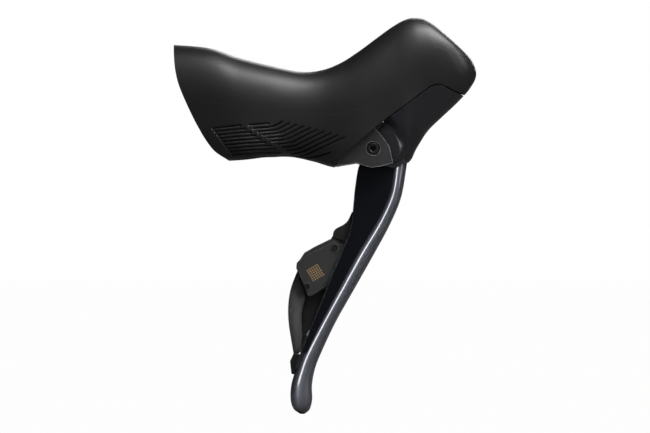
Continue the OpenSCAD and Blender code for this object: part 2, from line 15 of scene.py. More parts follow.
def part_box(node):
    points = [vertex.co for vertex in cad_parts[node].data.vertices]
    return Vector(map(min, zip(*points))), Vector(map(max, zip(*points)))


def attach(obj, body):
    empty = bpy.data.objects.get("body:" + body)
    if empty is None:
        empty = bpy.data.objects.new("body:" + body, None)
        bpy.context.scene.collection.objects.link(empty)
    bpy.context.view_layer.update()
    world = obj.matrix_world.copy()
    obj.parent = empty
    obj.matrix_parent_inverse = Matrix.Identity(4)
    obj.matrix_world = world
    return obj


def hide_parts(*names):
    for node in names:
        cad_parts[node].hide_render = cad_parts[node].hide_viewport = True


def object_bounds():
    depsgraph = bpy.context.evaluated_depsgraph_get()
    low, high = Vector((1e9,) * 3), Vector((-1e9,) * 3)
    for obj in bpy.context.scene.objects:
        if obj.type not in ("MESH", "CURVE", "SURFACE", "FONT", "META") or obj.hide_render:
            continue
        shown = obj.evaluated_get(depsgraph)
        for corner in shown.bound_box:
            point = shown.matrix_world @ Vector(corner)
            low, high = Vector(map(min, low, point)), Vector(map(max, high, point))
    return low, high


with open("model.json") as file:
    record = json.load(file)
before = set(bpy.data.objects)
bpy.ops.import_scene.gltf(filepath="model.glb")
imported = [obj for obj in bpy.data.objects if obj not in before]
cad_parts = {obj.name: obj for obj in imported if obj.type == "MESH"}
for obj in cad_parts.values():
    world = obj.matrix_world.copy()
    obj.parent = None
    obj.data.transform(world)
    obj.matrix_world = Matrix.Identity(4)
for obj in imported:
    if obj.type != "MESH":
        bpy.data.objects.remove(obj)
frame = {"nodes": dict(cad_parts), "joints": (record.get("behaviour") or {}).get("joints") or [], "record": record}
CAD_BOX = [list(corner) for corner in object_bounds()]
NODES = frame["nodes"]
JOINTS = {joint["name"]: joint for joint in frame["joints"]}
MM = 0.001

PIVOT = np.array([JOINTS["brake_pull"]["pos_m"][0], JOINTS["brake_pull"]["pos_m"][2]]) / MM
CLAMP = next(m for m in frame["record"]["mounts"] if m["name"] == "handlebar_clamp")
BAR_AXIS = np.array([CLAMP["axis"][0], CLAMP["axis"][2]])

# The hood and the front cap share one body. A station holds the top point, the bottom point, half
# the width, how much the lower half narrows, and the roundness of the lower half.
STATIONS = np.array([
    [-31, 30.3, -11, -20.2, 18.6, 0.00, 5.5],
    [-8.5, 28.7, 3, -20.8, 18.8, 0.00, 5.5],
    [5.5, 24.3, 10, -20.5, 18.6, 0.00, 5.5],
    [19.5, 20.8, 18, -19.3, 17.8, 0.00, 5.0],
    [32.6, 18.2, 28, -19.0, 16.6, 0.00, 4.5],
    [41.8, 18.9, 38, -21.0, 16.0, 0.00, 5.0],
    [50.1, 22.1, 47.5, -23.6, 16.2, 0.00, 5.5],
    [57.5, 26.8, 59, -23.8, 16.6, 0.05, 5.0],
    [64.7, 32.1, 70, -23.5, 16.9, 0.25, 4.0],
    [71.5, 37.1, 79.4, -21.7, 17.0, 0.42, 3.2],
    [76.6, 40.2, 83.4, -15.1, 16.9, 0.46, 2.8],
    [80.5, 41.6, 88.2, -7.7, 16.6, 0.44, 2.6],
    [83.6, 41.8, 94.4, -1.6, 16.1, 0.38, 2.5],
    [86.4, 41.3, 100.8, 4.4, 15.4, 0.30, 2.4],
    [89.4, 39.8, 106.4, 10.6, 14.2, 0.20, 2.4],
    [92.6, 37.3, 109.3, 16.6, 12.2, 0.10, 2.3],
    [96.0, 34.3, 107.6, 22.8, 8.6, 0.00, 2.2],
    [99.0, 31.3, 103.6, 26.8, 3.0, 0.00, 2.2]])
ROUND_TOP = 2.5
CHIN_STATION = 6
LAST_STATION = len(STATIONS) - 1
RIM = np.array([[-22.9, 34], [-22.7, 29], [-21.6, 18], [-19, 9], [-12.2, -5.5], [-5.4, -16],
                [2, -21.5], [4, -26]])
SEAM_KNOTS = [[47.4, -21.4], [64.5, -6.6], [76.4, 2.4], [86.6, 10.0], [89.4, 11.8], [92.2, 12.6],
              [95.2, 11.9], [99.7, 9.7], [109.2, 6.6], [124, 4]]
HOOD_THICKNESS = 2.0
SEAM_GAP = 0.585
BAR_OPENING = 13.1
# Samples for each control point when a curve's length is measured
CURVE_SAMPLES = 40


# ---------------------------------------------------------------- curves


def spline(points, t):
    """Catmull-Rom curve through points, read at t, which counts from 0 to len(points) - 1."""
    points, t = np.asarray(points, float), np.asarray(t, float)
    last = len(points) - 1
    i = np.clip(np.floor(t).astype(int), 0, last - 1)
    f = (t - i)[..., None]
    a, b = points[np.maximum(i - 1, 0)], points[i]
    c, d = points[i + 1], points[np.minimum(i + 2, last)]
    return 0.5 * (2 * b + (c - a) * f + (2 * a - 5 * b + 4 * c - d) * f**2
                  + (3 * b - a - 3 * c + d) * f**3)


def sample(points, count):
    """count points of the Catmull-Rom curve through points, from its start to its end."""
    return spline(points, np.linspace(0, len(points) - 1, count))


def length_along(line):
    """Distance along a polyline from its start to each of its points."""
    step = np.linalg.norm(np.diff(line, axis=0), axis=1)
    return np.concatenate([[0], np.cumsum(step)])


def resample(line, shares):
    """Points of a polyline at the given shares of its length."""
    length = length_along(line)
    return np.stack([np.interp(shares * length[-1], length, line[:, k]) for k in range(line.shape[1])], 1)


def smooth_line(points, count):
    """count points along the Catmull-Rom curve, evenly spaced along its length."""
    return resample(sample(points, CURVE_SAMPLES * len(points)), np.linspace(0, 1, count))


def smooth_step(value):
    """0 below 0, 1 above 1 and a soft S between."""
    value = np.clip(value, 0, 1)
    return value * value * (3 - 2 * value)


def rounded(value, exponent):
    """A sine or cosine bent from a circle's (2) towards a square's (large exponents)."""
    return np.sign(value) * np.abs(value) ** (2 / exponent)


def body_point(u, a):
    """Point of the body at station u and angle a round the section: 0 is the top, pi the bottom."""
    s = spline(STATIONS, u)
    e = np.where(np.cos(a) > 0, ROUND_TOP, s[..., 6])
    high = rounded(np.cos(a), e)
    low = (1 - high) / 2
    x = (s[..., 0] + s[..., 2]) / 2 + (s[..., 0] - s[..., 2]) / 2 * high
    z = (s[..., 1] + s[..., 3]) / 2 + (s[..., 1] - s[..., 3]) / 2 * high
    y = s[..., 4] * rounded(np.sin(a), e) * (1 - s[..., 5] * low**2)
    return np.stack([x, y, z], -1)


SEAM = sample(SEAM_KNOTS, 120)
RIM_LINE = sample(RIM, 200)


def above_seam(x, z):
    """Height above the seam's line, in side view."""
    return z - np.interp(x, SEAM[:, 0], SEAM[:, 1])


# ---------------------------------------------------------------- meshes


def mesh_object(name, vertices, faces, smooth=True, weld=0.004, values=None):
    """A mesh object from millimetre points, with coincident points joined."""
    mesh = bpy.data.meshes.new(name)
    mesh.from_pydata([tuple(v) for v in np.asarray(vertices, float) * MM], [], faces)
    if values:
        layer = mesh.attributes.new(values[0], "FLOAT", "POINT")
        layer.data.foreach_set("value", values[1])
    work = bmesh.new()
    work.from_mesh(mesh)
    bmesh.ops.remove_doubles(work, verts=work.verts, dist=weld * MM)
    bmesh.ops.dissolve_degenerate(work, edges=work.edges, dist=weld * MM / 4)
    bmesh.ops.recalc_face_normals(work, faces=work.faces)
    work.to_mesh(mesh)
    work.free()
    for face in mesh.polygons:
        face.use_smooth = smooth
    thing = bpy.data.objects.new(name, mesh)
    bpy.context.scene.collection.objects.link(thing)
    return thing


def grid_faces(rows, columns, close=False):
    """Quads of a grid of points. A closed grid joins its last column to its first."""
    faces = []
    for i in range(rows - 1):
        for j in range(columns if close else columns - 1):
            a, b = i * columns + j, i * columns + (j + 1) % columns
            faces.append((a, b, b + columns, a + columns))
    return faces


def both_sides(grid):
    """A half grid with y >= 0 and its mirror image, as one list of points and faces."""
    rows, columns = grid.shape[:2]
    right = grid.reshape(-1, 3)
    left = right * [1, -1, 1]
    faces = grid_faces(rows, columns)
    mirrored = [tuple(i + len(right) for i in reversed(face)) for face in faces]
    return np.concatenate([right, left]), faces + mirrored


def grid_normals(grid):
    """Unit normals of a grid of points."""
    n = np.cross(np.gradient(grid, axis=0), np.gradient(grid, axis=1))
    length = np.linalg.norm(n, axis=-1, keepdims=True)
    return n / np.maximum(length, 1e-9)


def tube_mesh(name, rings):
    """Closed skin through rings of equal size."""
    rings = np.asarray(rings)
    count, sides = rings.shape[:2]
    ends = [tuple(range(sides)), tuple(range((count - 1) * sides, count * sides))]
    return mesh_object(name, rings.reshape(-1, 3), grid_faces(count, sides, close=True) + ends)


def plate_mesh(name, outline, y0, y1):
    """A flat plate from a side-view outline."""
    outline = np.asarray(outline, float)
    n = len(outline)
    front = np.stack([outline[:, 0], np.full(n, y0), outline[:, 1]], 1)
    back = np.stack([outline[:, 0], np.full(n, y1), outline[:, 1]], 1)
    sides = [(i, (i + 1) % n, n + (i + 1) % n, n + i) for i in range(n)]
    return mesh_object(name, np.concatenate([front, back]),
                       [tuple(range(n)), tuple(range(n, 2 * n))] + sides, smooth=False)


def bevel(thing, width, segments=3, angle=35):
    """Rounds the edges that are sharper than the angle."""
    step = thing.modifiers.new("bevel", "BEVEL")
    step.width = width * MM
    step.segments = segments
    step.limit_method = "ANGLE"
    step.angle_limit = math.radians(angle)


def shade_by_angle(thing, angle=35):
    """Smooth faces, with edges sharper than the angle kept crisp."""
    mesh = thing.data
    for face in mesh.polygons:
        face.use_smooth = True
    work = bmesh.new()
    work.from_mesh(mesh)
    limit = math.radians(angle)
    for edge in work.edges:
        edge.smooth = not (len(edge.link_faces) == 2 and edge.calc_face_angle(0) > limit)
    work.to_mesh(mesh)
    work.free()


# ---------------------------------------------------------------- materials

# How wide a band along a sharp edge is lightened, as wear and as a painted highlight, and how far the normal has
# to turn there
EDGE_WIDTH = 0.35
EDGE_TURN = (0.995, 0.93)
# Scale of the noise that breaks up the edges' wear and painted highlight
WEAR_AND_HIGHLIGHT_SCALE = 600
DRIFT_SCALE = 90
NOISE_RANGE = (0.3, 0.7)
# The hood's rubber: its gloss, in a groove, and where it is seen edge on
RUBBER_GLOSS, GROOVE_GLOSS, EDGE_ON_GLOSS = 0.5, 0.08, 0.03
EDGE_ON = (0.72, 0.95)
# Shade painted into the hood's grooves: how strong it is, and its near-black colour
GROOVE_PAINTED_SHADE = 0.95
GROOVE_PAINTED_SHADE_COLOUR = (0.001, 0.001, 0.001)


def node_material(name):
    """A new material, its node tree and its main shader."""
    material = bpy.data.materials.new(name)
    material.use_nodes = True
    tree = material.node_tree
    return material, tree, tree.nodes["Principled BSDF"]


def noise(tree, scale, detail=3.0, roughness=0.55):
    """A noise texture in the object's own space."""
    place = tree.nodes.new("ShaderNodeTexCoord")
    texture = tree.nodes.new("ShaderNodeTexNoise")
    texture.inputs["Scale"].default_value = scale
    texture.inputs["Detail"].default_value = detail
    texture.inputs["Roughness"].default_value = roughness
    tree.links.new(place.outputs["Object"], texture.inputs["Vector"])
    return texture


def map_range(tree, source, source_range, target_range):
    """A value moved from one range to another, and held inside it."""
    node = tree.nodes.new("ShaderNodeMapRange")
    for name, (low, high) in (("From", source_range), ("To", target_range)):
        node.inputs[name + " Min"].default_value = low
        node.inputs[name + " Max"].default_value = high
    tree.links.new(source, node.inputs["Value"])
    return node.outputs["Result"]


def spread(tree, texture, low, high):
    """A noise texture's usual values mapped on to low..high."""
    return map_range(tree, texture.outputs["Fac"], NOISE_RANGE, (low, high))


def mix_colours(tree, factor, first, second):
    """A mix of two colours, of which each is a socket or a plain colour."""
    node = tree.nodes.new("ShaderNodeMix")
    node.data_type = "RGBA"
    tree.links.new(factor, node.inputs["Factor"])
    for name, colour in (("A", first), ("B", second)):
        if isinstance(colour, tuple):
            node.inputs[name].default_value = (*colour, 1)
        else:
            tree.links.new(colour, node.inputs[name])
    return node.outputs["Result"]


def multiply(tree, first, second):
    """The product of a socket and a socket or a number, held between 0 and 1."""
    node = tree.nodes.new("ShaderNodeMath")
    node.operation = "MULTIPLY"
    node.use_clamp = True
    tree.links.new(first, node.inputs[0])
    if isinstance(second, float):
        node.inputs[1].default_value = second
    else:
        tree.links.new(second, node.inputs[1])
    return node.outputs[0]


def bump(tree, shader, height, strength, distance):
    """A fine relief, as deep as distance in millimetres."""
    node = tree.nodes.new("ShaderNodeBump")
    node.inputs["Strength"].default_value = strength
    node.inputs["Distance"].default_value = distance * MM
    tree.links.new(height, node.inputs["Height"])
    tree.links.new(node.outputs["Normal"], shader.inputs["Normal"])


def worn_and_highlit_edges(tree, colour, edge_wear_and_highlight):
    """Lightens a colour along sharp edges, broken up by noise: partly wear, partly a painted highlight where an
    edge would catch the light.
    """
    rounded_edge = tree.nodes.new("ShaderNodeBevel")
    rounded_edge.samples = 4
    rounded_edge.inputs["Radius"].default_value = EDGE_WIDTH * MM
    shape = tree.nodes.new("ShaderNodeNewGeometry")
    match = tree.nodes.new("ShaderNodeVectorMath")
    match.operation = "DOT_PRODUCT"
    tree.links.new(rounded_edge.outputs["Normal"], match.inputs[0])
    tree.links.new(shape.outputs["Normal"], match.inputs[1])
    sharp = map_range(tree, match.outputs["Value"], EDGE_TURN, (0, 1))
    patches = spread(tree, noise(tree, WEAR_AND_HIGHLIGHT_SCALE, 5), 0.35, 1.0)
    return mix_colours(tree, multiply(tree, sharp, patches), colour, edge_wear_and_highlight)


def finish_material(name, dark, light, rough, grain, grain_depth, metallic=0.0, coat=0.0, coat_rough=0.1,
                    specular=0.5, edge_wear_and_highlight=None):
    """A surface with a colour that drifts, a roughness that varies, a fine grain and edges lightened as wear and
    as a painted highlight.
    """
    material, tree, shader = node_material(name)
    drift = noise(tree, DRIFT_SCALE, 4)
    fine = noise(tree, grain, 4, 0.6)
    colour = mix_colours(tree, drift.outputs["Fac"], dark, light)
    colour = worn_and_highlit_edges(tree, colour, edge_wear_and_highlight or tuple(2.2 * channel + 0.004 for channel in light))
    tree.links.new(colour, shader.inputs["Base Color"])
    tree.links.new(spread(tree, fine, rough - 0.05, rough + 0.06), shader.inputs["Roughness"])
    bump(tree, shader, fine.outputs["Fac"], 0.6, grain_depth)
    shader.inputs["Metallic"].default_value = metallic
    shader.inputs["Coat Weight"].default_value = coat
    shader.inputs["Coat Roughness"].default_value = coat_rough
    shader.inputs["Specular IOR Level"].default_value = specular
    return material


def paint_groove_shade(material):
    """Paints shade into a material's colour where its mesh is pressed in, makes it dull there, and dull where it
    is seen edge on.
    """
    tree = material.node_tree
    shader = tree.nodes["Principled BSDF"]
    source = shader.inputs["Base Color"].links[0].from_socket
    pressed = tree.nodes.new("ShaderNodeAttribute")
    pressed.attribute_name = "pressed"
    amount = multiply(tree, pressed.outputs["Fac"], GROOVE_PAINTED_SHADE)
    tree.links.new(mix_colours(tree, amount, source, GROOVE_PAINTED_SHADE_COLOUR), shader.inputs["Base Color"])
    gloss = map_range(tree, amount, (0, 1), (RUBBER_GLOSS, GROOVE_GLOSS))
    view = tree.nodes.new("ShaderNodeLayerWeight")
    glare = map_range(tree, view.outputs["Facing"], EDGE_ON, (1, EDGE_ON_GLOSS))
    tree.links.new(multiply(tree, gloss, glare), shader.inputs["Specular IOR Level"])


def grey(value):
    """A grey that is slightly cool."""
    return (value, value * 1.01, value * 1.04)


# Each finish has its dark and its light colour, its roughness, the scale and the depth of its grain,
# and whatever else differs from a plain plastic.
FINISHES = {
    "hood_rubber": (grey(0.0045), grey(0.007), 0.45, 1500, 0.03, {}),
    # The bracket's edges are lightened almost to white: mostly a painted highlight along the ears' edges, partly
    # wear.
    "bracket": (grey(0.018), grey(0.030), 0.5, 2600, 0.10, {"edge_wear_and_highlight": grey(0.7)}),
    "cap_plastic": ((0.003, 0.0027, 0.0036), (0.0045, 0.004, 0.0055), 0.2, 2600, 0.006, {}),
    "blade_metal": ((0.052, 0.055, 0.066), (0.060, 0.064, 0.077), 0.48, 5000, 0.0015,
                    {"metallic": 0.85, "coat": 1.0, "coat_rough": 0.09, "edge_wear_and_highlight": (0.08, 0.085, 0.10)}),
    # The wing's edges are much lighter than its face: a painted highlight along its rim, partly wear.
    "wing": ((0.002, 0.0028, 0.0055), (0.003, 0.004, 0.008), 0.4, 2600, 0.004,
             {"specular": 0.25, "edge_wear_and_highlight": (0.30, 0.31, 0.33)}),
    "button_plastic": (grey(0.022), grey(0.032), 0.6, 1900, 0.09, {}),
    "paddle_plastic": (grey(0.10), grey(0.13), 0.6, 1900, 0.12, {}),
    "housing_plastic": (grey(0.036), grey(0.050), 0.45, 2600, 0.03, {"edge_wear_and_highlight": grey(0.30)}),
    "steel": ((0.45, 0.45, 0.46), (0.55, 0.55, 0.56), 0.28, 2500, 0.003, {"metallic": 1}),
    "dark_steel": ((0.03, 0.03, 0.032), (0.05, 0.05, 0.054), 0.35, 2500, 0.003,
                   {"metallic": 0.9, "edge_wear_and_highlight": grey(0.3)}),
    "alloy": ((0.50, 0.51, 0.53), (0.58, 0.59, 0.61), 0.34, 2500, 0.003, {"metallic": 1}),
    "bronze": ((0.40, 0.27, 0.11), (0.50, 0.35, 0.16), 0.35, 2500, 0.003, {"metallic": 1}),
    "mark": ((0.24, 0.16, 0.07), (0.40, 0.27, 0.12), 0.5, 2500, 0.003, {}),
    "seal_rubber": ((0.007, 0.0075, 0.0065), (0.011, 0.0115, 0.010), 0.5, 2200, 0.02, {}),
    "board": ((0.01, 0.07, 0.035), (0.015, 0.09, 0.045), 0.35, 1200, 0.004, {}),
    "cable_jacket": (grey(0.010), grey(0.014), 0.4, 2500, 0.006, {}),
}
MATERIALS = {name: finish_material(name, *values, **more) for name, (*values, more) in FINISHES.items()}
paint_groove_shade(MATERIALS["hood_rubber"])


def fit(thing, slot, body, *nodes, finish=None):
    """Gives a piece its material and its body, and hides the CAD nodes that it stands for."""
    thing.data.materials.clear()
    thing.data.materials.append(MATERIALS[finish or slot])
    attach(thing, body)
    if nodes:
        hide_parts(*nodes)
    return thing


# ---------------------------------------------------------------- hood

# Spans of stations and of shares of a section's length (low, high, step), finest at the grip pattern
HOOD_STATIONS = [(0.0, 1.0, 0.05), (1.0, 6.0, 0.0165), (6.0, 8.0, 0.05), (8.0, 12.8, 0.06),
                 (12.8, 14.2, 0.03), (14.2, LAST_STATION, 0.06)]
HOOD_SHARES = [(0, 0.5, 0.0165), (0.5, 1.0, 0.0052)]
# Up to this station the hood's rows bend to follow the rear rim.
RIM_REACH = 2.5
# The first sections that the opening cuts take one steady end angle over this many stations.
STEADY_REACH = 0.12
ANGLE_START = 0.02
TOP_ANGLE = 0.5

# The grip pattern has a rear block of nearly straight grooves, a front block of bent ones, and one
# groove above and one below them. A block is its first groove's points and the steps between grooves.
REAR_GROOVES, FRONT_GROOVES = 9, 10
REAR_START, REAR_START_STEP = np.array([-5.5, -7.1]), np.array([1.04, -1.42])
REAR_END, REAR_END_STEP = np.array([6.5, -5.7]), np.array([2.15, -1.47])
REAR_RISE = 0.1
FRONT_START, FRONT_START_STEP = np.array([12.2, -7.1]), np.array([2.05, -1.36])
FRONT_BEND, FRONT_BEND_STEP = np.array([20.7, -6.4]), np.array([1.54, -1.36])
FRONT_END, FRONT_END_STEP = np.array([24.5, -4.1]), np.array([3.0, -0.62])
FRONT_END_FALL = 0.014
TOP_GROOVE = np.array([[10.2, -5.5], [14.5, -5.2], [18.9, -4.8]])
LOW_GROOVE = np.array([[34.0, -19.9], [38.5, -19.5], [45.1, -17.4]])
PATTERN_REAR, PATTERN_FRONT, PATTERN_TOP = -9, 56, -2
GROOVE_HALF, GROOVE_DEPTH = 0.5, 0.62
DOT_OFFSET, DOT_RADIUS, DOT_HEIGHT = 1.1, 0.4, 0.16


def even_angles(u, angles, shares):
    """Angles that divide the run of angles at station u at the given shares of its outline's length."""
    length = length_along(body_point(np.full_like(angles, u), angles))
    return np.interp(shares * length[-1], length, angles)


def end_angle(u):
    """Angle at which the hood's side ends at station u: the seam, the handlebar opening or the bottom."""
    angles = np.linspace(ANGLE_START, math.pi, 1500)
    x, y, z = body_point(np.full_like(angles, u), angles).T
    along = x * BAR_AXIS[0] + z * BAR_AXIS[1]
    across = z * BAR_AXIS[0] - x * BAR_AXIS[1]
    cut = (np.hypot(across, y) < BAR_OPENING) & (along > 0)
    if u > CHIN_STATION:
        cut |= above_seam(x, z) < 0
    if not cut.any():
        return math.pi
    first = np.flatnonzero(cut)[0]
    if first == 0 or cut[angles > TOP_ANGLE].all():
        return ANGLE_START
    return (angles[first - 1] + angles[first]) / 2


def dense_steps(spans):
    """Joins spans of (low, high, step) into one list of values."""
    parts = [np.linspace(low, high, max(2, int(round((high - low) / step))), endpoint=False)
             for low, high, step in spans]
    return np.concatenate(parts + [[spans[-1][1]]])


def groove_lines():
    """Side-view lines of the grip pattern, each a start, a bend and an end."""
    lines = [TOP_GROOVE, LOW_GROOVE]
    for k in range(REAR_GROOVES):
        start, end = REAR_START + k * REAR_START_STEP, REAR_END + k * REAR_END_STEP
        lines.append([start, (start + end) / 2 + [0, REAR_RISE], end])
    for k in range(FRONT_GROOVES):
        lines.append([FRONT_START + k * FRONT_START_STEP, FRONT_BEND + k * FRONT_BEND_STEP,
                      FRONT_END + k * FRONT_END_STEP - [0, FRONT_END_FALL * k * k]])
    return lines


def rounded_bend(start, bend, end, radius=2.0, count=9):
    """Two straight runs joined by a rounded corner."""
    before = (start - bend) / np.linalg.norm(start - bend)
    after = (end - bend) / np.linalg.norm(end - bend)
    a, b = bend + before * radius, bend + after * radius
    t = np.linspace(0, 1, count)[:, None]
    return np.concatenate([[start], (1 - t) ** 2 * a + 2 * t * (1 - t) * bend + t**2 * b, [end]])


def distance_to_line(points, line):
    """Distance of each point to a polyline."""
    best = np.full(len(points), 1e9)
    for a, b in zip(line[:-1], line[1:]):
        ab = b - a
        t = np.clip(((points - a) @ ab) / (ab @ ab), 0, 1)
        best = np.minimum(best, np.hypot(*(points - a - t[:, None] * ab).T))
    return best


def groove_depth(x, z):
    """How deep the grip pattern is pressed into the hood at side-view points. A dot stands proud."""
    points = np.stack([x.ravel(), z.ravel()], 1)
    depth = np.zeros(len(points))
    near = (points[:, 0] > PATTERN_REAR) & (points[:, 0] < PATTERN_FRONT) & (points[:, 1] < PATTERN_TOP)
    some = points[near]
    cut, dots = np.zeros(len(some)), np.zeros(len(some))
    for start, bend, end in groove_lines():
        line = rounded_bend(start, bend, end)
        cut = np.maximum(cut, 1 - smooth_step(distance_to_line(some, line) / GROOVE_HALF))
        dot = end + (end - bend) / np.linalg.norm(end - bend) * DOT_OFFSET
        dots = np.maximum(dots, 1 - smooth_step(np.hypot(*(some - dot).T) / DOT_RADIUS))
    depth[near] = cut * GROOVE_DEPTH - dots * DOT_HEIGHT
    return depth.reshape(x.shape)


def rim_station(stations, angles):
    """Station at which a lengthwise line, with one angle for each station, meets the rear rim."""
    low, high = 0.0, RIM_REACH
    for _ in range(40):
        middle = (low + high) / 2
        point = body_point(np.array(middle), np.array(np.interp(middle, stations, angles)))
        rim_x = np.interp(-point[2], -RIM_LINE[:, 1], RIM_LINE[:, 0])
        if point[0] < rim_x:
            low = middle
        else:
            high = middle
    return (low + high) / 2


def side_ends():
    """Stations, the angle at which the hood's side ends at each, and the opening's front station."""
    knots = np.linspace(0, LAST_STATION, 700)
    ends = np.array([end_angle(u) for u in knots])
    cut = ends < math.pi - 1e-6
    steady = np.flatnonzero(cut)[0] + int(STEADY_REACH / (knots[1] - knots[0]))
    ends[:steady] = ends[steady]
    # Behind the chin the side stops at a line that runs from the opening's front end to the chin.
    chin_end = end_angle(CHIN_STATION + 1e-4)
    opening_front = knots[np.flatnonzero((ends < math.pi - 1e-6) & (knots < CHIN_STATION))[-1]]
    behind = (knots > opening_front) & (knots <= CHIN_STATION)
    glide = (knots - opening_front) / (CHIN_STATION - opening_front)
    return knots, np.where(behind, math.pi + (chin_end - math.pi) * glide, ends), opening_front


def hood_side(knots, ends):
    """Grid of the hood's side, and how deep the grip pattern is pressed into it at each point."""
    stations, shares = dense_steps(HOOD_STATIONS), dense_steps(HOOD_SHARES)
    table_u = np.linspace(0, LAST_STATION, 900)
    table = np.array([even_angles(u, np.linspace(0, end, 241), shares)
                      for u, end in zip(table_u, np.interp(table_u, knots, ends))])
    rim = np.array([rim_station(table_u, angles) for angles in table.T])
    bend = np.clip(stations / RIM_REACH, 0, 1)[:, None]
    u = np.maximum.accumulate(rim * (1 - bend) + stations[:, None] * bend, axis=0)
    angles = np.stack([np.interp(u[:, v], table_u, table[:, v]) for v in range(len(shares))], 1)
    grid = body_point(u, angles)
    grid[:, 0, 1] = 0
    closed = np.interp(u[:, -1], knots, ends) > math.pi - 1e-3
    grid[closed, -1, 1] = 0
    depth = groove_depth(grid[..., 0], grid[..., 2])
    normals = grid_normals(grid)
    outward = np.sign(np.sum(normals[..., 1]))
    return grid - normals * outward * depth[..., None], depth


def hood_bottom(knots, ends, opening_front):
    """Grid of the hood's underside, between the handlebar opening and the chin."""
    stations = np.linspace(opening_front, CHIN_STATION, 60)
    shares = np.linspace(0, 1, 24)
    start = np.interp(stations, knots, ends)
    angles = start[:, None] + (math.pi - start)[:, None] * shares
    grid = body_point(np.repeat(stations[:, None], len(shares), 1), angles)
    grid[:, -1, 1] = 0
    return grid


def hood():
    """The hood's outer skin, with the depth of its pattern as the attribute pressed."""
    knots, ends, opening_front = side_ends()
    side, depth = hood_side(knots, ends)
    points, faces = both_sides(side)
    more, more_faces = both_sides(hood_bottom(knots, ends, opening_front))
    faces += [tuple(i + len(points) for i in face) for face in more_faces]
    pressed = np.concatenate([depth.ravel() / GROOVE_DEPTH] * 2 + [np.zeros(len(more))])
    return mesh_object("hood_shell", np.concatenate([points, more]), faces, values=("pressed", pressed))


def point_solidify(thing, thickness, rim_bevel):
    """Gives a sheet its thickness, inwards, and rounds its free edges."""
    mesh = thing.data
    work = bmesh.new()
    work.from_mesh(mesh)
    layer = work.edges.layers.float.new("bevel_weight_edge")
    for edge in work.edges:
        if edge.is_boundary:
            edge[layer] = 1.0
    work.to_mesh(mesh)
    work.free()
    shell = thing.modifiers.new("shell", "SOLIDIFY")
    shell.thickness = thickness * MM
    shell.offset = -1
    shell.use_even_offset = True
    shell.thickness_clamp = 0.8
    soft = thing.modifiers.new("rim", "BEVEL")
    soft.limit_method = "WEIGHT"
    soft.width = rim_bevel * MM
    soft.segments = 3


hood_shell = hood()
point_solidify(hood_shell, HOOD_THICKNESS, 0.5)
fit(hood_shell, "hood_rubber", "root", "hood")

# ---------------------------------------------------------------- front cap

EAR_LEVEL = 9.0
CAP_REAR, CAP_BOTTOM = 60, -21.8
CAP_THICKNESS = 1.7
CAP_STATIONS = [(7.72, 9.2, 0.02), (9.2, 13.0, 0.05), (13.0, 13.75, 0.02)]
CAP_SHARES = [(0, 1, 0.012)]
DIP_NEAR, DIP_FAR = 10.9, 17.5
TONGUE_STATIONS = (8.1, 12.6)
TONGUE_DEPTH, TONGUE_REACH, TONGUE_THICKNESS = 2.6, 1.2, 0.6


def front_cap():
    """The lever's cover: the body below the seam, sunk round the pivot so that it passes the ears."""
    shares = dense_steps(CAP_SHARES)
    angles = np.linspace(ANGLE_START, math.pi, 1600)
    rows = []
    for u in dense_steps(CAP_STATIONS):
        x, _, z = body_point(np.full_like(angles, u), angles).T
        below = np.flatnonzero((above_seam(x, z) < -SEAM_GAP) & (x > CAP_REAR))
        if not len(below):
            continue
        start = angles[below[0]]
        low = np.flatnonzero((z < CAP_BOTTOM) & (angles > start))
        end = angles[low[0]] if len(low) else math.pi
        row = body_point(np.full_like(shares, u), even_angles(u, np.linspace(start, end, 300), shares))
        if end == math.pi:
            row[-1, 1] = 0
        rows.append(row)
    grid = np.array(rows)
    away = np.hypot(grid[..., 0] - PIVOT[0], grid[..., 2] - PIVOT[1])
    lift = smooth_step((away - DIP_NEAR) / (DIP_FAR - DIP_NEAR))
    sunk = EAR_LEVEL + (grid[..., 1] - EAR_LEVEL) * lift
    grid[..., 1] = np.where(grid[..., 1] > EAR_LEVEL, sunk, grid[..., 1])
    points, faces = both_sides(grid)
    return mesh_object("front_cap_shell", points, faces)


def cap_tongue():
    """A thin tongue of the cap that stands behind the seam, so that no light shows through it."""
    angles = np.linspace(0.2, math.pi, 2400)
    heights = np.linspace(TONGUE_REACH, -TONGUE_REACH, 7)
    rows = []
    for u in np.linspace(*TONGUE_STATIONS, 70):
        x, _, z = body_point(np.full_like(angles, u), angles).T
        above = above_seam(x, z)
        picked = np.array([angles[np.flatnonzero(above < height)[0]] for height in heights])
        row = body_point(np.full_like(picked, u), picked)
        row[:, 1] -= TONGUE_DEPTH
        rows.append(row)
    points, faces = both_sides(np.array(rows))
    return mesh_object("front_cap_tongue", points, faces)


tongue = cap_tongue()
point_solidify(tongue, TONGUE_THICKNESS, 0.1)
fit(tongue, "cap_plastic", "lever")

cap_shell = front_cap()
point_solidify(cap_shell, CAP_THICKNESS, 0.3)
fit(cap_shell, "cap_plastic", "lever", "front_cap")

# ---------------------------------------------------------------- lever blade

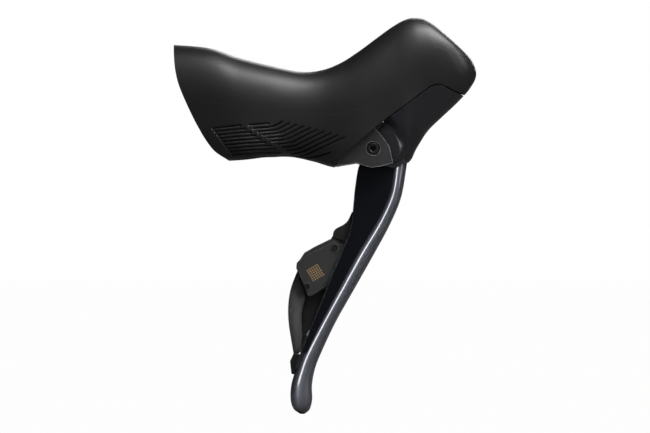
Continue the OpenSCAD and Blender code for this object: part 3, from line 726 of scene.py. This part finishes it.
BLADE_FRONT = np.array([[79.4, -18.6], [78.6, -25], [76.4, -37], [71.6, -48.6], [63.7, -63.2], [55.8, -77.2],
                        [47.9, -91.2], [41.3, -105.2], [38.7, -112.2], [37.5, -119], [37.6, -125],
                        [36.5, -129.4], [34.3, -131.4]])
BLADE_REAR = np.array([[72.6, -18.6], [72.2, -24.4], [70.6, -34.6], [65.4, -46.2], [56.8, -60.2],
                       [48.8, -74.9], [40.6, -90.2], [33.3, -104.2], [30.6, -111.4], [28.5, -118.4],
                       [28.1, -124.8], [29.4, -129.2], [32.3, -131.4]])
BLADE_HALF = np.array([6, 6.2, 6.4, 6.4, 6.3, 6.1, 5.8, 5.4, 5.2, 5.1, 4.9, 4.0, 1.6])
WING_EDGE = np.array([[62, -20], [58.2, -22.5], [56.4, -31.7], [55.5, -40.5], [54.5, -49.2], [51.2, -58.8],
                      [45.7, -71.8], [41.4, -82.7], [36.2, -95.2], [32, -105.7]])
WING_ROOT = [73, -20]
WING_Y, WING_T = -5.0, 1.6
WEB_NEAR, WEB_FAR = -4.2, -2.2
CHEEK_IN, CHEEK_OUT = 4.9, 7.2
CHEEK_RADIUS = 6.3
CHEEK_TOE = [[73, -24], [78, -22], [77.5, -15]]


def blade_tube():
    """The blade: an oval tube whose sections close at a round tip."""
    t = np.concatenate([np.linspace(0, 11, 220), 11 + np.sin(np.linspace(0, math.pi / 2, 26))[1:]])
    front, rear = spline(BLADE_FRONT, t), spline(BLADE_REAR, t)
    half = spline(BLADE_HALF[:, None], t)[:, 0]
    angle = np.linspace(0, 2 * math.pi, 96, endpoint=False)
    along, across = rounded(np.cos(angle), 2.3), rounded(np.sin(angle), 2.3)
    middle, reach = (front + rear) / 2, (front - rear) / 2
    rings = np.stack([middle[:, None, 0] + reach[:, None, 0] * along, half[:, None] * across,
                      middle[:, None, 1] + reach[:, None, 1] * along], -1)
    return tube_mesh("blade_tube", rings)


def across_blade(share, first, last):
    """Side-view points of the blade at a share of its depth: 0 is the rear edge and 1 the front."""
    return BLADE_REAR[first:last] * (1 - share) + BLADE_FRONT[first:last] * share


def blade_wing():
    """The flat wing behind the blade, on its near side."""
    inner = smooth_line(across_blade(0.3, 1, 8), 100)
    outline = np.concatenate([[WING_ROOT], smooth_line(WING_EDGE, 120), inner[::-1]])
    wing = plate_mesh("blade_wing", outline, WING_Y, WING_Y + WING_T)
    bevel(wing, 0.35)
    return wing


def blade_web():
    """Fills the corner between the wing and the blade."""
    deep = smooth_line(across_blade(0.5, 2, 9), 80)
    behind = smooth_line(across_blade(-0.08, 2, 9), 80)
    return plate_mesh("blade_web", np.concatenate([behind, deep[::-1]]), WEB_NEAR, WEB_FAR)


def arc(centre, radius, start, end, count):
    """Points of an arc, between two angles in degrees."""
    angle = np.radians(np.linspace(start, end, count))
    return np.stack([centre[0] + radius * np.cos(angle), centre[1] + radius * np.sin(angle)], 1)


def blade_cheek(side):
    """One of the two cheeks that hold the pivot, on the side -1 (near) or 1 (far)."""
    outline = np.concatenate([arc(PIVOT, CHEEK_RADIUS, 60, 270, 48), CHEEK_TOE])
    low, high = sorted((side * CHEEK_IN, side * CHEEK_OUT))
    cheek = plate_mesh("blade_cheek_" + ("far" if side > 0 else "near"), outline, low, high)
    bevel(cheek, 0.3)
    return cheek


blade = fit(blade_tube(), "blade_metal", "lever", "lever_blade")
fit(blade_wing(), "blade_metal", "lever", finish="wing")
for piece in (blade_cheek(-1), blade_cheek(1), blade_web()):
    fit(piece, "blade_metal", "lever")

# ---------------------------------------------------------------- shift buttons

PADDLE_OUTER = [[31.2, -68.6], [28.5, -75.6], [27.3, -81.5], [27, -87], [27.3, -92], [28, -97],
                [29.6, -106.3]]
PADDLE_INNER = [[32.4, -104.6], [33.2, -97.3], [32.9, -89.9], [33.7, -84.2], [34.6, -80.6]]
PADDLE_TOP = [[34.9, -79.4], [31.6, -70.8]]
ARM_INNER = [[34.6, -80], [36, -78.3], [43.4, -74.9]]
ARM_TOP = [[44, -66.4], [36, -66]]
BRIDGE = [[33.2, -84], [33.6, -78], [36, -76.5], [44, -73], [46.6, -75.5], [45.2, -79], [37.8, -82.4]]
FRONT_TOP = [[35.6, -79.2], [43.0, -75.7]]
PADDLE_NEAR, BUTTON_NEAR, BRIDGE_NEAR, BUTTON_FAR = 0.8, 3.3, 5.1, 6.4
FRONT_NEAR, FRONT_FAR = 1.0, 4.2
PADDLE_GAP = 0.35
FLANGE_WIDTH = 2.2
# The rear paddle's plates overlap, and end at different depths so that no two faces coincide.
FAR_STEP = 0.12
# A crowned plate swells over CROWN_REACH, and its rim is round over ROUND_REACH.
CROWN_REACH, ROUND_REACH, CROWN_MESH = 3.0, 0.9, 1.6
AXLE_TOP, AXLE_END = np.array([50.6, -67.4]), np.array([35.2, -96.6])
AXLE_DIRECTION = (AXLE_TOP - AXLE_END) / np.linalg.norm(AXLE_TOP - AXLE_END)
AXLE_Y = 4.6
HUB_RADIUS, HUB_CHAMFER = 1.6, 0.3


def axle_point(distance):
    """Side-view point on the buttons' axle, at a distance from its lower end."""
    return AXLE_END + distance * AXLE_DIRECTION


def crowned_plate(name, outline, near, far, edge, crown):
    """A plate whose near face falls back by edge at its rim and swells by crown in the middle."""
    plate = plate_mesh(name, outline, near, far)
    work = bmesh.new()
    work.from_mesh(plate.data)
    bmesh.ops.triangulate(work, faces=[f for f in work.faces if len(f.verts) > 4])
    for _ in range(3):
        longest = [e for e in work.edges if e.calc_length() > CROWN_MESH * MM]
        bmesh.ops.subdivide_edges(work, edges=longest, cuts=1, use_grid_fill=False)
        bmesh.ops.triangulate(work, faces=[f for f in work.faces if len(f.verts) > 3])
    rim = resample(np.vstack([outline, outline[:1]]), np.linspace(0, 1, 400))
    for vertex in work.verts:
        if vertex.co.y < (near + 0.01) * MM:
            place = np.array([vertex.co.x, vertex.co.z]) / MM
            inside = np.min(np.hypot(*(rim - place).T))
            fall = edge * (1 - smooth_step(inside / ROUND_REACH))
            vertex.co.y += (fall - crown * smooth_step(inside / CROWN_REACH)) * MM
    work.to_mesh(plate.data)
    work.free()
    bevel(plate, 0.3, angle=50)
    shade_by_angle(plate, 40)
    return plate


def axle_hub(name, start, length):
    """A round hub along the buttons' axle, with chamfered ends."""
    across = np.array([-AXLE_DIRECTION[1], AXLE_DIRECTION[0]])
    angle = np.linspace(0, 2 * math.pi, 32, endpoint=False)
    end = start + length
    rings = []
    for distance, radius in ((start, HUB_RADIUS - HUB_CHAMFER), (start + HUB_CHAMFER, HUB_RADIUS),
                             (end - HUB_CHAMFER, HUB_RADIUS), (end, HUB_RADIUS - HUB_CHAMFER)):
        centre = axle_point(distance)
        rings.append(np.stack([centre[0] + radius * across[0] * np.cos(angle),
                               AXLE_Y + radius * np.sin(angle),
                               centre[1] + radius * across[1] * np.cos(angle)], 1))
    hub = tube_mesh(name, rings)
    shade_by_angle(hub, 40)
    return hub


def rear_paddle():
    """The rear button's long face, with the arm, bridge and flange that carry it from its hub."""
    outer, inner = smooth_line(PADDLE_OUTER, 60), smooth_line(PADDLE_INNER, 40)
    face = np.concatenate([outer[8:], inner, PADDLE_TOP])
    arm = np.concatenate([outer[:14], ARM_INNER, [axle_point(23), axle_point(30)], ARM_TOP])
    flange = np.concatenate([inner, (inner + [FLANGE_WIDTH, 0])[::-1]])
    return [crowned_plate("rear_paddle", face, PADDLE_NEAR, BUTTON_FAR - FAR_STEP, 0.55, 0.5),
            plate_mesh("rear_paddle_arm", arm, BUTTON_NEAR, BUTTON_FAR),
            plate_mesh("rear_paddle_bridge", BRIDGE, BRIDGE_NEAR, BUTTON_FAR - 2 * FAR_STEP),
            plate_mesh("rear_paddle_flange", flange, BRIDGE_NEAR, BUTTON_FAR - 3 * FAR_STEP),
            axle_hub("rear_paddle_hub", 22.6, 7.4)]


def front_paddle():
    """The front button, which lies between the rear paddle and the axle."""
    inner = smooth_line(PADDLE_INNER, 40)[6:] + [PADDLE_GAP, 0]
    face = np.concatenate([inner, FRONT_TOP, [axle_point(19.6), axle_point(2)]])
    return [crowned_plate("front_paddle", face, FRONT_NEAR, FRONT_FAR, 0.35, 0.2),
            axle_hub("front_paddle_hub", 2, 16)]


for button, finish, pieces in (("rear_button", "paddle_plastic", rear_paddle()),
                               ("front_button", "button_plastic", front_paddle())):
    fit(pieces[0], "button_plastic", button, button, finish=finish)
    for piece in pieces[1:]:
        fit(piece, "button_plastic", button, finish=finish)

# ---------------------------------------------------------------- small covers, ears, pin and mark

BOOT_REAR = [[46.5, -54.35], [46.9, -51.9], [48.2, -50.3], [51.2, -48.7], [53.2, -46.8], [55, -43]]
BOOT_FRONT = [[58.4, -44.5], [57.4, -50], [54.4, -57.0]]
BOOT_NEAR, BOOT_FAR = -3.1, 3.4
COLLAR = [[45.2, -56.4], [46.3, -53.8], [50, -54.2], [54.9, -55.8], [54.2, -59.5], [49, -58.5]]
COLLAR_NEAR, COLLAR_FAR = -1.9, 3.2
FOOT = [[29.6, -104.6], [27.9, -108.4], [28.5, -113.9], [30.6, -114.2], [33.6, -105.8]]
FOOT_NEAR, FOOT_FAR = -2.8, 4.2
# The ears run on under the hood's edge. A web has its name, outer level, finish and outline.
EAR_WEB_INNER = 9.5
EAR_WEBS = [
    ("ear_tail", 11.3, "bracket", [[46.9, -23.25], [49.2, -23.2], [51.4, -22.6], [53.4, -21.5],
                                   [55.2, -21.1], [56.2, -18.8], [52, -15.6], [47.6, -20]]),
    ("ear_top", 10.7, "seal_rubber", [[61.6, -9.6], [62.6, -5.4], [68.2, -1.0], [69.0, -2.4],
                                      [67.6, -5.6], [65.4, -9.2]]),
]
# The pivot pin's places along Y with its radius at each, from the bottom of its hex socket
AXLE_PROFILE = [(-9.2, 0.0), (-9.2, 1.3), (-11.4, 1.35), (-11.5, 1.45), (-11.5, 2.2), (-11.35, 2.35),
                (-10.2, 2.4), (-10.2, 2.96), (-9.8, 3.0), (11.3, 3.0), (11.6, 2.7), (11.6, 0.0)]
# A plain square of dots on the lid stands for a maker's marking.
MARK_CORNER = np.array([35.1, -68.7])
MARK_RIGHT = np.array([0.85, 0.527])
MARK_STEP, MARK_DOTS, MARK_DOT = 1.0, 6, 0.6
MARK_PROUD, MARK_SUNK = 0.02, 0.05
LID_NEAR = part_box("switch_lid")[0].y / MM


def turned(name, profile, centre, sides=48):
    """A turned part about an axis along y, from pairs of place and radius."""
    angle = np.linspace(0, 2 * math.pi, sides, endpoint=False)
    rings = [np.stack([centre[0] + max(radius, 0.01) * np.cos(angle), np.full(sides, y),
                       centre[1] + max(radius, 0.01) * np.sin(angle)], 1) for y, radius in profile]
    part = tube_mesh(name, rings)
    shade_by_angle(part, 40)
    return part


def lid_mark():
    """A square of small flat dots on the switch lid."""
    down = np.array([MARK_RIGHT[1], -MARK_RIGHT[0]])
    quads = [(0, 1, 2, 3), (4, 5, 6, 7), (0, 1, 5, 4), (1, 2, 6, 5), (2, 3, 7, 6), (3, 0, 4, 7)]
    points, faces = [], []
    for i in range(MARK_DOTS):
        for j in range(MARK_DOTS):
            corner = MARK_CORNER + MARK_STEP * (i * MARK_RIGHT + j * down)
            faces += [tuple(len(points) + k for k in quad) for quad in quads]
            for y in (LID_NEAR - MARK_PROUD, LID_NEAR + MARK_SUNK):
                for a, b in ((0, 0), (1, 0), (1, 1), (0, 1)):
                    x, z = corner + MARK_DOT * (a * MARK_RIGHT + b * down)
                    points.append([x, y, z])
    return mesh_object("lid_mark", points, faces, smooth=False)


boot_outline = np.concatenate([smooth_line(BOOT_REAR, 40), BOOT_FRONT])
boot = plate_mesh("cable_boot_shell", boot_outline, BOOT_NEAR, BOOT_FAR)
bevel(boot, 0.9, segments=5)
shade_by_angle(boot, 50)
fit(boot, "seal_rubber", "lever", "cable_boot")

collar = plate_mesh("cable_boot_collar", COLLAR, COLLAR_NEAR, COLLAR_FAR)
fit(collar, "seal_rubber", "lever")

# The end block's foot meets the blade.
foot = plate_mesh("end_block_foot", FOOT, FOOT_NEAR, FOOT_FAR)
bevel(foot, 0.4)
fit(foot, "seal_rubber", "lever", "end_block")

for side, sign in (("near", -1), ("far", 1)):
    for name, level, finish, outline in EAR_WEBS:
        web = plate_mesh(name + "_" + side, outline, *sorted((sign * EAR_WEB_INNER, sign * level)))
        bevel(web, 0.2)
        fit(web, finish, "root")

pivot_pin = turned("pivot_pin", AXLE_PROFILE, PIVOT)
fit(pivot_pin, "steel", "root", "main_axle", "axle_screw", finish="dark_steel")
fit(lid_mark(), "bronze", "lever", finish="mark")

# ---------------------------------------------------------------- carried-over CAD nodes

NODE_BEVEL = 0.22
NO_BEVEL = ("piston_spring", "return_spring", "switch_cable")
DARK_FINISH = {"switch_lid_screws": "dark_steel"}
SLOT_OF = {row["node"]: row["material_slot"] for row in frame["record"]["subparts"]}
for node_name, node in NODES.items():
    if not node.hide_render:
        node.data.materials.clear()
        node.data.materials.append(MATERIALS[DARK_FINISH.get(node_name, SLOT_OF[node_name])])
        if node_name not in NO_BEVEL:
            bevel(node, NODE_BEVEL, segments=2)

# ---------------------------------------------------------------- stage, light and camera

VIEW_WIDTH = 0.2844
CAMERA_SHIFT = (-0.09, -0.3)
CAMERA_LENS, CAMERA_SENSOR = 200, 36
AMBIENT = 0.012
FLOOR_BOUNCE, FLOOR_GLOW = 0.2, 0.985
FLOOR_SIZE, FLOOR_GAP = 30, 0.0005
# Each light's place and aim from the object's centre, its width and height, its power and its roll.
# The gloss strip leans with the blade.
LIGHTS = {
    "top_softbox": ((0.13, -0.1, 0.28), (0.03, 0, 0.07), 0.2, 0.2, 1.7, 0),
    "back_fill": ((0.3, 1.3, 0.5), (0, 0, 0), 0.6, 0.6, 9, 0),
    "camera_key": ((0.2, -1.3, 0.5), (0, 0, 0), 0.3, 0.7, 0.5, 0),
    "front_softbox": ((0.85, -0.6, 0.1), (0, 0, 0), 0.22, 0.8, 4.2, 0),
    "gloss_strip": ((-0.52, -1.25, 0.4), (0, 0, 0), 0.5, 1.2, 34, -29),
}


def area_light(name, place, target, width, height, power, roll):
    """A rectangular light at a place, aimed at a target and rolled by degrees."""
    light = bpy.data.lights.new(name, "AREA")
    light.energy = power
    light.shape = "RECTANGLE"
    light.size, light.size_y = width, height
    holder = bpy.data.objects.new(name, light)
    holder.location = place
    aim = (target - place).to_track_quat("-Z", "Y")
    holder.rotation_euler = (aim @ Quaternion((0, 0, 1), math.radians(roll))).to_euler()
    bpy.context.scene.collection.objects.link(holder)
    return holder


def floor(centre, height, size):
    """A pale floor that the camera sees evenly lit and that throws only a little light back."""
    bpy.ops.mesh.primitive_plane_add(size=size, location=(centre.x, centre.y, height))
    plane = bpy.context.object
    plane.name = "floor"
    material, tree, shader = node_material("floor_paint")
    shader.inputs["Roughness"].default_value = 0.9
    shader.inputs["Specular IOR Level"].default_value = 0
    seen = tree.nodes.new("ShaderNodeLightPath").outputs["Is Camera Ray"]
    paint = mix_colours(tree, seen, (FLOOR_BOUNCE, FLOOR_BOUNCE, FLOOR_BOUNCE), (0, 0, 0))
    tree.links.new(paint, shader.inputs["Base Color"])
    shader.inputs["Emission Color"].default_value = (1, 1, 1, 1)
    tree.links.new(multiply(tree, seen, FLOOR_GLOW), shader.inputs["Emission Strength"])
    plane.data.materials.append(material)


def backdrop():
    """A white world for the camera that gives the object only a faint light."""
    world = bpy.data.worlds.new("studio")
    bpy.context.scene.world = world
    world.use_nodes = True
    tree = world.node_tree
    back = tree.nodes["Background"]
    back.inputs["Color"].default_value = (1, 1, 1, 1)
    seen = tree.nodes.new("ShaderNodeLightPath").outputs["Is Camera Ray"]
    tree.links.new(map_range(tree, seen, (0, 1), (AMBIENT, 1)), back.inputs["Strength"])


def lights(centre):
    """The soft lights. The gloss strip lights only the blade and the front cap."""
    lamps = {name: area_light(name, centre + Vector(place), centre + Vector(target), *rest)
             for name, (place, target, *rest) in LIGHTS.items()}
    glossy = bpy.data.collections.new("glossy_pieces")
    for shiny in (blade, cap_shell):
        glossy.objects.link(shiny)
    lamps["gloss_strip"].light_linking.receiver_collection = glossy


def camera(centre):
    """A long lens that looks along +Y at the near side."""
    lens = bpy.data.cameras.new("camera")
    holder = bpy.data.objects.new("camera", lens)
    bpy.context.scene.collection.objects.link(holder)
    bpy.context.scene.camera = holder
    lens.lens, lens.sensor_width = CAMERA_LENS, CAMERA_SENSOR
    lens.clip_start, lens.clip_end = 0.05, 50
    distance = VIEW_WIDTH * CAMERA_LENS / CAMERA_SENSOR
    holder.location = (centre.x + CAMERA_SHIFT[0] * MM, -distance, centre.z + CAMERA_SHIFT[1] * MM)
    holder.rotation_euler = (math.pi / 2, 0, 0)


box_low, box_high = (Vector(corner) for corner in CAD_BOX)
box_centre = (box_low + box_high) / 2
floor(box_centre, box_low.z - FLOOR_GAP, (box_high - box_low).length * FLOOR_SIZE)
backdrop()
lights(box_centre)
camera(box_centre)
bpy.context.scene.view_settings.view_transform = "Standard"
